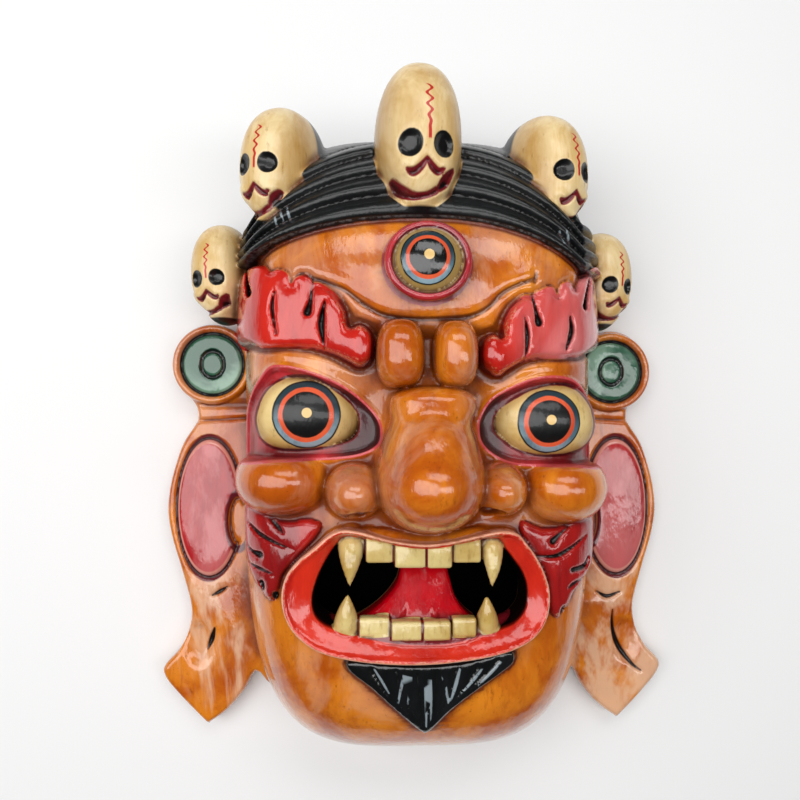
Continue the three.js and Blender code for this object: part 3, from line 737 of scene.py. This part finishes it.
def paint_marks(mesh, f, axes):
    points = np.empty(len(mesh.vertices) * 3, np.float32)
    mesh.vertices.foreach_get("co", points)
    points = points.reshape(-1, 3) * 1000
    x, y, z = points.T
    p = plan(x, y)
    marks = {name: p[name] for name in ("band", "brow", "ball", "lid", "lip_out", "lip_in", "beard",
                                        "flames", "third", "glint", "fold")}
    marks["cut"] = np.minimum.reduce([p["brow_cut"], p["flame_cut"], p["ear_cut"]])
    nearest = np.full(len(x), 1e9, np.float32)
    names = ("skull_u", "skull_v", "skull_w", "skull_eye", "skull_cut")
    local = {name: np.full(len(x), 9, np.float32) for name in names}
    for s in SKULLS:
        d = skull(s, x, y, z)
        u, v, w = skull_local(s, x, y, z)
        closer = d < nearest
        nearest = np.where(closer, d, nearest)
        a, b = u * 17 / s["size"][0], v * 30 / s["size"][1]
        for name, value in zip(names, (a, b, w, sockets(s, a, b), strokes(SKULL_CUTS, a, b))):
            local[name] = np.where(closer, value, local[name])
    marks["skull"] = nearest
    marks.update(local)
    marks["tooth"] = teeth(x, y, z)
    marks["gum"] = gums(x, y, z)
    marks["tongue"] = tongue(x, y, z)
    marks["hollow"] = hollow(x, y, z)
    fine, broad = blurred(f, 2), blurred(blurred(f, 4), 4)
    marks["cave"] = sampled(fine, axes, points)
    marks["bay"] = sampled(broad, axes, points)
    for name, values in marks.items():
        layer = mesh.attributes.new("d_" + name, "FLOAT", "POINT")
        layer.data.foreach_set("value", np.clip(values, -60, 60).astype(np.float32))


# ---- shader building ----

def hexed(code):
    """A screen colour as the linear one that shaders use."""
    parts = [int(code[i:i + 2], 16) / 255 for i in (0, 2, 4)]
    return tuple(c / 12.92 if c <= 0.04045 else ((c + 0.055) / 1.055) ** 2.4 for c in parts)


class Shader:
    """Short ways to add and join shader nodes."""

    def __init__(self, name):
        self.material = bpy.data.materials.new(name)
        self.material.use_nodes = True
        self.tree = self.material.node_tree
        self.main = self.tree.nodes["Principled BSDF"]
        self.place = self.tree.nodes.new("ShaderNodeTexCoord").outputs["Object"]

    def put(self, socket, value):
        if isinstance(value, bpy.types.NodeSocket):
            self.tree.links.new(value, socket)
        elif isinstance(value, str):
            socket.default_value = (*hexed(value), 1.0)
        else:
            socket.default_value = value

    def mark(self, name):
        made = self.tree.nodes.new("ShaderNodeAttribute")
        made.attribute_name = "d_" + name
        return made.outputs["Fac"]

    def math(self, operation, a, b=0.0, c=0.0):
        made = self.tree.nodes.new("ShaderNodeMath")
        made.operation = operation
        for socket, value in zip(made.inputs, (a, b, c)):
            self.put(socket, value)
        return made.outputs[0]

    def both(self, *shares):
        """The shares multiplied together."""
        made = shares[0]
        for share in shares[1:]:
            made = self.math("MULTIPLY", made, share)
        return made

    def most(self, *shares):
        """The largest of the shares."""
        made = shares[0]
        for share in shares[1:]:
            made = self.math("MAXIMUM", made, share)
        return made

    def fade(self, value, start, end):
        """0 where value is at start and 1 where it is at end."""
        made = self.tree.nodes.new("ShaderNodeMapRange")
        made.interpolation_type = "SMOOTHSTEP"
        self.put(made.inputs["Value"], value)
        made.inputs["From Min"].default_value = start
        made.inputs["From Max"].default_value = end
        return made.outputs["Result"]

    def mix(self, share, a, b, blend="MIX"):
        made = self.tree.nodes.new("ShaderNodeMix")
        made.data_type = "RGBA"
        made.blend_type = blend
        self.put(made.inputs[0], share)
        self.put(made.inputs[6], a)
        self.put(made.inputs[7], b)
        return made.outputs[2]

    def noise(self, scale, detail=3.0, rough=0.55, stretch=(1, 1, 1), turn=0.0, warp=0.0):
        place = self.tree.nodes.new("ShaderNodeMapping")
        self.put(place.inputs["Vector"], self.place)
        place.inputs["Scale"].default_value = stretch
        place.inputs["Rotation"].default_value = (0, 0, turn)
        made = self.tree.nodes.new("ShaderNodeTexNoise")
        self.put(made.inputs["Vector"], place.outputs["Vector"])
        made.inputs["Scale"].default_value = scale
        made.inputs["Detail"].default_value = detail
        made.inputs["Roughness"].default_value = rough
        made.inputs["Distortion"].default_value = warp
        return made.outputs["Fac"]

    def distance(self, x, y, squash=1.0):
        """Millimetres from a line that stands on the face at x, y."""
        shift = self.tree.nodes.new("ShaderNodeMapping")
        self.put(shift.inputs["Vector"], self.place)
        shift.inputs["Location"].default_value = (-x, -y / squash, 0)
        shift.inputs["Scale"].default_value = (1000, 1000 / squash, 0)
        made = self.tree.nodes.new("ShaderNodeVectorMath")
        made.operation = "LENGTH"
        self.put(made.inputs[0], shift.outputs["Vector"])
        return made.outputs["Value"]


class Paint(Shader):
    """The mask's paint, laid on coat by coat, with the places and noises that the coats share."""

    def __init__(self, name):
        super().__init__(name)
        split = self.tree.nodes.new("ShaderNodeSeparateXYZ")
        self.put(split.inputs[0], self.place)
        self.x, self.y, self.z = (self.math("MULTIPLY", split.outputs[i], 1000.0) for i in range(3))
        self.across = self.math("ABSOLUTE", self.x)
        self.wobble = self.math("SUBTRACT", self.noise(220, 2), 0.5)
        self.blotch = self.noise(34, 4, 0.6, warp=0.6)
        self.streak = self.noise(60, 5, 0.65, (1, 0.22, 1), 0.25)
        self.brush = self.noise(120, 5, 0.7, (1, 0.12, 1), -0.5, 0.4)
        self.haze = self.noise(24, 5, 0.65, (1, 0.4, 1), 0.3, 0.8)
        self.fine = self.noise(420, 4, 0.7, (1, 0.3, 1))
        self.speck = self.noise(900, 2, 0.6)
        self.colour = None

    def coat(self, share, colour):
        self.colour = self.mix(share, self.colour, colour)

    def tone(self, light, dark, by, low=0.3, high=0.7):
        return self.mix(self.fade(by, low, high), light, dark)

    def inside(self, name, edge=0.0, soft=0.3):
        """1 inside a painted region, with a hand-painted edge."""
        value = self.math("ADD", self.mark(name), self.wobble)
        return self.fade(value, edge + soft, edge - soft)

    def along(self, name, place, width):
        """1 on a line painted at a distance from a region's edge."""
        value = self.math("ABSOLUTE", self.math("SUBTRACT", self.mark(name), place))
        return self.fade(value, width, width * 0.4)


# ---- the coats of paint, in the order they are laid on ----

def skin_coats(s):
    """Amber over red brown, with brush marks, a pale veil of painted reflection that is strongest on the
    chin's lower sides, and a pale edge on the chin's rim.
    """
    s.colour = s.tone("DC801A", "B65206", s.blotch, 0.36, 0.64)
    s.coat(s.both(s.fade(s.streak, 0.45, 0.72), 0.6), "A04206")
    s.coat(s.both(s.fade(s.streak, 0.45, 0.25), 0.5), "EA962A")
    s.coat(s.both(s.fade(s.brush, 0.55, 0.72), 0.55), "8C3A06")
    s.coat(s.both(s.fade(s.fine, 0.56, 0.76), 0.45), "6E2C06")
    s.coat(s.both(s.fade(s.speck, 0.66, 0.74), 0.5), "5A2408")
    # A pale veil in patches: painted reflection, strongest on the lower sides of the chin.
    low_sides = s.both(s.fade(s.y, -50.0, -72.0), s.fade(s.across, 48.0, 66.0))
    sheen_share = s.most(s.both(low_sides, 0.75), 0.22)
    s.coat(s.both(s.fade(s.haze, 0.49, 0.60), sheen_share), "E8BE9C")
    flange = s.both(s.fade(s.z, 8.5, 6.5), s.fade(s.y, -88.0, -104.0), s.fade(s.across, 78.0, 74.0))
    s.coat(s.both(flange, s.fade(s.haze, 0.62, 0.42)), "E0A886")


def socket_coats(s):
    """The flames below the cheeks, and the red sockets round the eyes, with painted shade at their inner
    corners.
    """
    s.coat(s.inside("flames", 0.2), s.tone("B01A16", "7E0C10", s.streak))
    # The sockets turn maroon black towards the inner corners: painted shade.
    socket = s.mix(s.fade(s.across, 38.0, 27.0), s.tone("B8242A", "7E121A", s.streak), "3E0810")
    s.coat(s.both(s.inside("lid"), s.fade(s.across, 79.0, 77.0)), socket)
    s.coat(s.both(s.along("lid", 0.0, 0.7), s.fade(s.across, 74.0, 70.0)), "C8484C")


def eye_coats(s):
    """Cream balls, darker at their edges and with painted shade at the inner corners, with a dark pupil
    in an orange ring, in a blue one that is dark on top.
    """
    ball = s.tone("E4C88A", "CBA85C", s.blotch, 0.4, 0.7)
    # Darker brown towards the balls' edges, and painted shade towards their inner corners.
    ball = s.mix(s.both(s.fade(s.mark("ball"), -4.0, -0.6), 0.55), ball, "A87830")
    ball = s.mix(s.both(s.fade(s.across, 36.0, 26.0), 0.5), ball, "7A6630")
    ball = s.mix(s.both(s.fade(s.fine, 0.52, 0.72), 0.4), ball, "7E5A26")
    in_ball = s.most(s.inside("ball", -0.2), s.fade(s.mark("third"), -1.5, -2.0))
    s.coat(s.along("ball", 0.3, 0.8), "5E1018")
    third_rim = s.fade(s.math("ABSOLUTE", s.mark("third")), 2.6, 2.1)
    s.coat(third_rim, s.tone("C03038", "8E1A28", s.streak))
    s.coat(s.along("third", -1.4, 0.7), "5E1018")
    s.coat(in_ball, ball)
    for x, y, size in IRISES:
        d = s.math("DIVIDE", s.math("ADD", s.distance(x, y), s.both(s.wobble, 0.5)), size)
        seen = s.most(in_ball, s.fade(d, 10.0, 9.5))
        s.coat(s.both(s.fade(d, 12.9, 12.5), seen), "14181B")
        lower = s.fade(s.math("SUBTRACT", s.y, y), 4.0, -6.0)
        blue = s.mix(lower, "263A42", s.tone("8FA9B4", "55727F", s.streak, 0.4, 0.6))
        s.coat(s.both(s.fade(d, 12.3, 11.9), seen), blue)
        s.coat(s.fade(d, 10.4, 10.0), s.tone("E8643C", "C8482A", s.streak))
        s.coat(s.fade(d, 8.7, 8.3), "08090A")
        s.coat(s.fade(s.distance(x + 0.4, y + 0.7), 2.0, 1.7), "E4C07C")


def brow_coats(s):
    """Red brows, with a painted pink reflection on the right one. Gives their share."""
    brow = s.inside("brow", 0.3)
    s.coat(brow, s.tone("D2281A", "A81410", s.streak))
    # A painted pink reflection over the right brow.
    brow_reflection = s.both(s.fade(s.x, 26.0, 50.0), s.fade(s.haze, 0.66, 0.40))
    s.coat(s.both(brow, brow_reflection, 0.55), "F0A4A4")
    return brow


def ear_coats(s, skin):
    """Red cushions with a pink line round them and a painted pink reflection on them, and green
    rosettes.
    """
    ear = s.both(s.fade(s.across, 76.0, 77.0), s.fade(s.z, 19.0, 17.5))
    for side in (-1, 1):
        d = s.distance(side * CUSHION[0], CUSHION[1], CUSHION[3] / CUSHION[2])
        s.coat(s.both(s.fade(d, 15.4, 14.9), ear), "6A1A22")
        s.coat(s.both(s.fade(d, 14.1, 13.7), ear), "DE9486")
        # A painted pink reflection in patches over the cushions.
        cushion_reflection = s.both(s.fade(s.haze, 0.46, 0.60), 0.45)
        cushion = s.mix(cushion_reflection, s.tone("BE2226", "981018", s.streak), "E08C8C")
        s.coat(s.both(s.fade(d, 13.3, 12.8), ear), cushion)
        notch = s.distance(side * NOTCH[0], NOTCH[1], NOTCH[3] / NOTCH[2])
        s.coat(s.both(s.fade(notch, 6.4, 5.8), ear), "5E1420")
        s.coat(s.both(s.fade(notch, 4.8, 4.4), ear), skin)
    for x, y in ROSETTES:
        d = s.distance(x, y)
        s.coat(s.both(s.fade(d, 14.8, 14.4), ear), "0C1814")
        s.coat(s.both(s.fade(d, 13.4, 12.9), ear), s.tone("7FA68E", "2F5C46", s.blotch, 0.35, 0.6))
        hoop = s.math("ABSOLUTE", s.math("SUBTRACT", s.distance(x, y, 1.16), 5.2))
        s.coat(s.both(s.fade(hoop, 1.2, 0.7), ear), "0E1F18")


def mouth_coats(s):
    """Lips with a pale edge, the walls of the mouth's opening painted near black as painted shade, gums
    and tongue, and teeth with red between them.
    """
    s.coat(s.both(s.inside("lip_out", 0.3), s.fade(s.z, 71.0, 73.5)), "E09A7C")
    lips = s.both(s.inside("lip_out", -0.9), s.fade(s.z, 60.0, 62.0))
    s.coat(lips, s.tone("D8301A", "B41A10", s.streak))
    in_mouth = s.fade(s.mark("lip_in"), 0.4, -0.2)
    # The walls of the mouth's opening are painted near black: painted shade.
    s.coat(s.both(in_mouth, s.fade(s.z, 77.0, 70.0)), "120605")
    s.coat(s.both(s.fade(s.mark("gum"), 0.8, 0.4), in_mouth), "7A1620")
    on_tongue = s.both(s.fade(s.mark("tongue"), 0.8, 0.4), in_mouth)
    s.coat(on_tongue, s.tone("C60014", "8A000C", s.streak))
    bone = s.tone("DCC888", "B8964C", s.blotch)
    bone = s.mix(s.both(s.fade(s.fine, 0.5, 0.75), 0.5), bone, "8A6426")
    for row, (below, above) in ((UPPER_GAPS, (-59.0, -58.0)), (LOWER_GAPS, (-58.0, -59.0))):
        in_row = s.fade(s.y, below, above)
        for place in row:
            gap = s.fade(s.math("ABSOLUTE", s.math("SUBTRACT", s.x, place)), 0.75, 0.3)
            bone = s.mix(s.both(gap, in_row), bone, "5A1018")
    s.coat(s.both(s.fade(s.mark("tooth"), 0.7, 0.35), in_mouth), bone)


def black_coats(s, brow):
    """The headband and the beard, with painted highlights on the beard's flutes and the band's ends.
    Gives the black, its share, and that of the headband alone.
    """
    black = s.tone("07090A", "16191B", s.streak, 0.4, 0.8)
    off_brow = s.math("SUBTRACT", 1.0, brow)
    cloth = s.both(s.inside("band", 0.1), s.fade(s.z, 2.0, 4.0), off_brow)
    ink = s.most(cloth, s.inside("beard", 0.2))
    s.coat(ink, black)
    # Painted highlights: grey-blue strokes along the beard's flutes and on the band's ends.
    s.coat(s.both(ink, s.fade(s.mark("glint"), 0.35, 0.0)), "8A969C")
    s.coat(s.both(s.along("band", -0.6, 0.4), s.fade(s.fine, 0.4, 0.6)), "5E6568")
    return black, ink, cloth


def skull_coats(s, black):
    """Ivory skulls, with painted shade on their sides, black sockets, red mouths and a zigzag. Gives
    their share.
    """
    on_skull = s.fade(s.mark("skull"), 1.0, 0.6)
    wood = s.noise(90, 5, 0.65, (1, 0.14, 1), 0.0, 0.6)
    su, sv, sw = s.mark("skull_u"), s.mark("skull_v"), s.mark("skull_w")
    ivory = s.tone("EBD3A0", "CFA763", wood, 0.35, 0.68)
    ivory = s.mix(s.both(s.fade(s.blotch, 0.48, 0.72), 0.6), ivory, "B98A40")
    # The skulls' sides are painted darker brown: painted shade.
    ivory = s.mix(s.both(s.fade(s.math("ABSOLUTE", su), 8.0, 16.0), 0.55), ivory, "B07F36")
    ivory = s.mix(s.both(s.fade(s.fine, 0.60, 0.75), 0.5), ivory, "8E6226")
    shown = s.both(s.fade(sw, -3.0, -1.0), s.fade(sv, -26.8, -25.8))
    s.coat(on_skull, s.mix(shown, black, ivory))
    front = s.both(on_skull, s.fade(sw, 0.0, 2.0))
    wave = s.both(s.math("SINE", s.both(sv, 1.45)), s.fade(sv, -3.0, 9.0))
    zigzag = s.math("ABSOLUTE", s.math("SUBTRACT", s.math("SUBTRACT", su, 0.8), wave))
    height = s.both(s.fade(sv, -5.4, -4.4), s.fade(sv, 16.0, 15.2))
    s.coat(s.both(front, height, s.fade(zigzag, 0.8, 0.45)), "BC1E16")
    s.coat(s.both(front, s.fade(s.mark("skull_eye"), 0.25, -0.25)), "060708")
    s.coat(s.both(front, s.fade(s.mark("skull_cut"), 0.7, 0.0)), "7A1420")
    jaw_end = s.both(s.fade(su, 5.0, 6.5), s.fade(s.mark("skull_cut"), -0.5, -1.0))
    s.coat(s.both(front, jaw_end, s.fade(sv, -17.5, -18.5)), "0A0808")
    return on_skull


def shade_and_wear_coats(s, ink):
    """Painted shade with a dark wash in the cuts and creases, and wear on the ridges. Gives the share of
    the shade and wash.
    """
    # Painted shade with a dark wash: near black in the gouges, dark brown along the forehead's fold, and
    # brown in the creases and hollows.
    s.coat(s.fade(s.mark("cut"), 0.3, -0.4), "1C0808")
    s.coat(s.both(s.fade(s.mark("fold"), 0.8, 0.0), 0.7), "3A140A")
    cave = s.mark("cave")
    crease = s.both(s.fade(cave, -0.10, -0.6), s.fade(s.fine, 0.15, 0.45))
    valley = s.fade(s.math("ADD", s.mark("bay"), s.both(s.wobble, 0.4)), -0.08, -1.4)
    shade_and_wash = s.most(s.both(crease, 0.9), s.both(valley, 0.8))
    s.coat(shade_and_wash, s.mix(1.0, s.colour, "6E342C", "MULTIPLY"))
    ridge = s.both(s.fade(cave, 0.45, 1.0), s.fade(s.speck, 0.5, 0.62))
    s.coat(s.both(ridge, s.math("SUBTRACT", 1.0, ink), 0.4), "E0BE94")
    return shade_and_wash


def bare_back(s):
    """Bare wood in the hollow and under the rim. Gives its share."""
    behind = s.most(s.fade(s.mark("hollow"), 1.2, 0.6), s.fade(s.z, 1.2, 0.5))
    behind = s.both(behind, s.fade(s.z, 66.0, 58.0))
    s.coat(behind, s.tone("5E3A20", "7E5532", s.streak, 0.35, 0.7))
    return behind


def gloss(s, dull):
    """Lacquer over the paint, less of it on dull places, and the marks of tool and grain."""
    rough = s.math("ADD", s.both(s.brush, 0.24), 0.08)
    s.put(s.main.inputs["Roughness"], s.math("ADD", rough, s.both(dull, 0.35)))
    s.put(s.main.inputs["Coat Weight"], s.both(s.math("SUBTRACT", 1.0, dull), 0.85))
    s.main.inputs["Coat Roughness"].default_value = 0.1
    s.main.inputs["Specular IOR Level"].default_value = 0.35
    tool = s.noise(150, 3, 0.5, (1, 0.5, 1), 0.5)
    grain = s.noise(700, 3, 0.6, (1, 0.16, 1))
    bump = s.tree.nodes.new("ShaderNodeBump")
    bump.inputs["Distance"].default_value = 1.0
    bump.inputs["Strength"].default_value = 0.6
    s.put(bump.inputs["Height"], s.math("ADD", s.both(tool, 0.0007), s.both(grain, 0.00015)))
    s.put(s.main.inputs["Normal"], bump.outputs["Normal"])
    s.put(s.main.inputs["Coat Normal"], bump.outputs["Normal"])


def painted_wood():
    s = Paint("painted_wood")
    skin_coats(s)
    skin = s.colour
    socket_coats(s)
    eye_coats(s)
    brow = brow_coats(s)
    ear_coats(s, skin)
    mouth_coats(s)
    black, ink, cloth = black_coats(s, brow)
    on_skull = skull_coats(s, black)
    shade_and_wash = shade_and_wear_coats(s, ink)
    behind = bare_back(s)
    s.put(s.main.inputs["Base Color"], s.colour)
    dull = s.most(s.both(behind, 0.95), s.both(shade_and_wash, 0.75), s.both(on_skull, 0.45),
                  s.both(cloth, 0.55), s.both(s.inside("lid"), 0.55))
    gloss(s, dull)
    return s.material


# ---- the piece ----

def carve_mask():
    f, axes = field()
    points, quads = surface(f, axes)
    mesh = thinned(make_mesh("carved_mask", points, quads), "carved_mask")
    paint_marks(mesh, f, axes)
    mesh.polygons.foreach_set("use_smooth", np.ones(len(mesh.polygons), bool))
    piece = bpy.data.objects.new("carved_mask", mesh)
    bpy.context.scene.collection.objects.link(piece)
    mesh.materials.append(painted_wood())
    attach(piece, "root")
    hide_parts("mask")


# ---- floor, light and camera ----

# Metres from here on.
FLOOR_HALF = 3.0
LIGHTS = [
    # name, place, where it aims, size and watts
    ("left_window", (-0.44, 0.06, 0.90), (-0.08, 0.0, 0.03), (0.7, 1.25), 9.4),
    ("top_window", (0.10, 0.65, 0.80), (0, 0, 0.03), (0.9, 0.35), 3.2),
    ("right_window", (0.46, -0.04, 0.95), (0.05, 0, 0.03), (0.28, 0.7), 2.6),
]
SKY = 0.06
FILM_WIDTH, FOCAL_LENGTH = 36, 32.481
CAMERA_PLACE = (-0.01888, 0.010, 0.340)
CAMERA_PITCH, CAMERA_YAW = 0.014, 0.037


def stage_sheet(name, corners, grey, rough):
    """A flat sheet of one plain grey, which is part of the stage."""
    mesh = bpy.data.meshes.new(name)
    mesh.from_pydata(corners, [], [range(len(corners))])
    sheet = bpy.data.objects.new(name, mesh)
    bpy.context.scene.collection.objects.link(sheet)
    paint = Shader(name)
    paint.main.inputs["Base Color"].default_value = (grey, grey, grey, 1)
    paint.main.inputs["Roughness"].default_value = rough
    mesh.materials.append(paint.material)
    return paint


def plain_floor():
    h = FLOOR_HALF
    stage_sheet("floor", [(-h, -h, 0), (h, -h, 0), (h, h, 0), (-h, h, 0)], 0.86, 0.9)


def painted_shade_sheet():
    """A near-black sheet of painted shade on the floor inside the hollow, so nothing pale shows through
    the mouth.
    """
    corners = []
    for angle in np.arange(32) * math.pi / 16:
        across, along = math.cos(angle), math.sin(angle)
        corners.append((0.062 * math.copysign(abs(across) ** 0.55, across),
                        0.108 * math.copysign(abs(along) ** 0.55, along), 0.0004))
    paint = stage_sheet("painted_shade_sheet", corners, 0.004, 1.0)
    paint.main.inputs["Specular IOR Level"].default_value = 0.0


def soft_light(name, place, aim, size, watts):
    data = bpy.data.lights.new(name, "AREA")
    data.shape = "RECTANGLE"
    data.size, data.size_y = size
    data.energy = watts
    lamp = bpy.data.objects.new(name, data)
    bpy.context.scene.collection.objects.link(lamp)
    aim_at(lamp, place, aim)


def aim_at(thing, place, aim):
    thing.location = place
    thing.rotation_euler = (Vector(aim) - Vector(place)).to_track_quat("-Z", "Y").to_euler()


def studio():
    for light in LIGHTS:
        soft_light(*light)
    world = bpy.data.worlds.new("studio")
    world.use_nodes = True
    world.node_tree.nodes["Background"].inputs["Color"].default_value = (1, 1, 1, 1)
    world.node_tree.nodes["Background"].inputs["Strength"].default_value = SKY
    bpy.context.scene.world = world


def camera():
    bpy.context.scene.view_settings.view_transform = "Standard"
    data = bpy.data.cameras.new("camera")
    data.sensor_width = FILM_WIDTH
    data.lens = FOCAL_LENGTH
    eye = bpy.data.objects.new("camera", data)
    bpy.context.scene.collection.objects.link(eye)
    eye.location = CAMERA_PLACE
    eye.rotation_euler = (CAMERA_PITCH, -CAMERA_YAW, 0)
    bpy.context.scene.camera = eye


camera()
studio()
plain_floor()
# Painted shade: a near-black sheet on the floor inside the hollow.
painted_shade_sheet()
carve_mask()
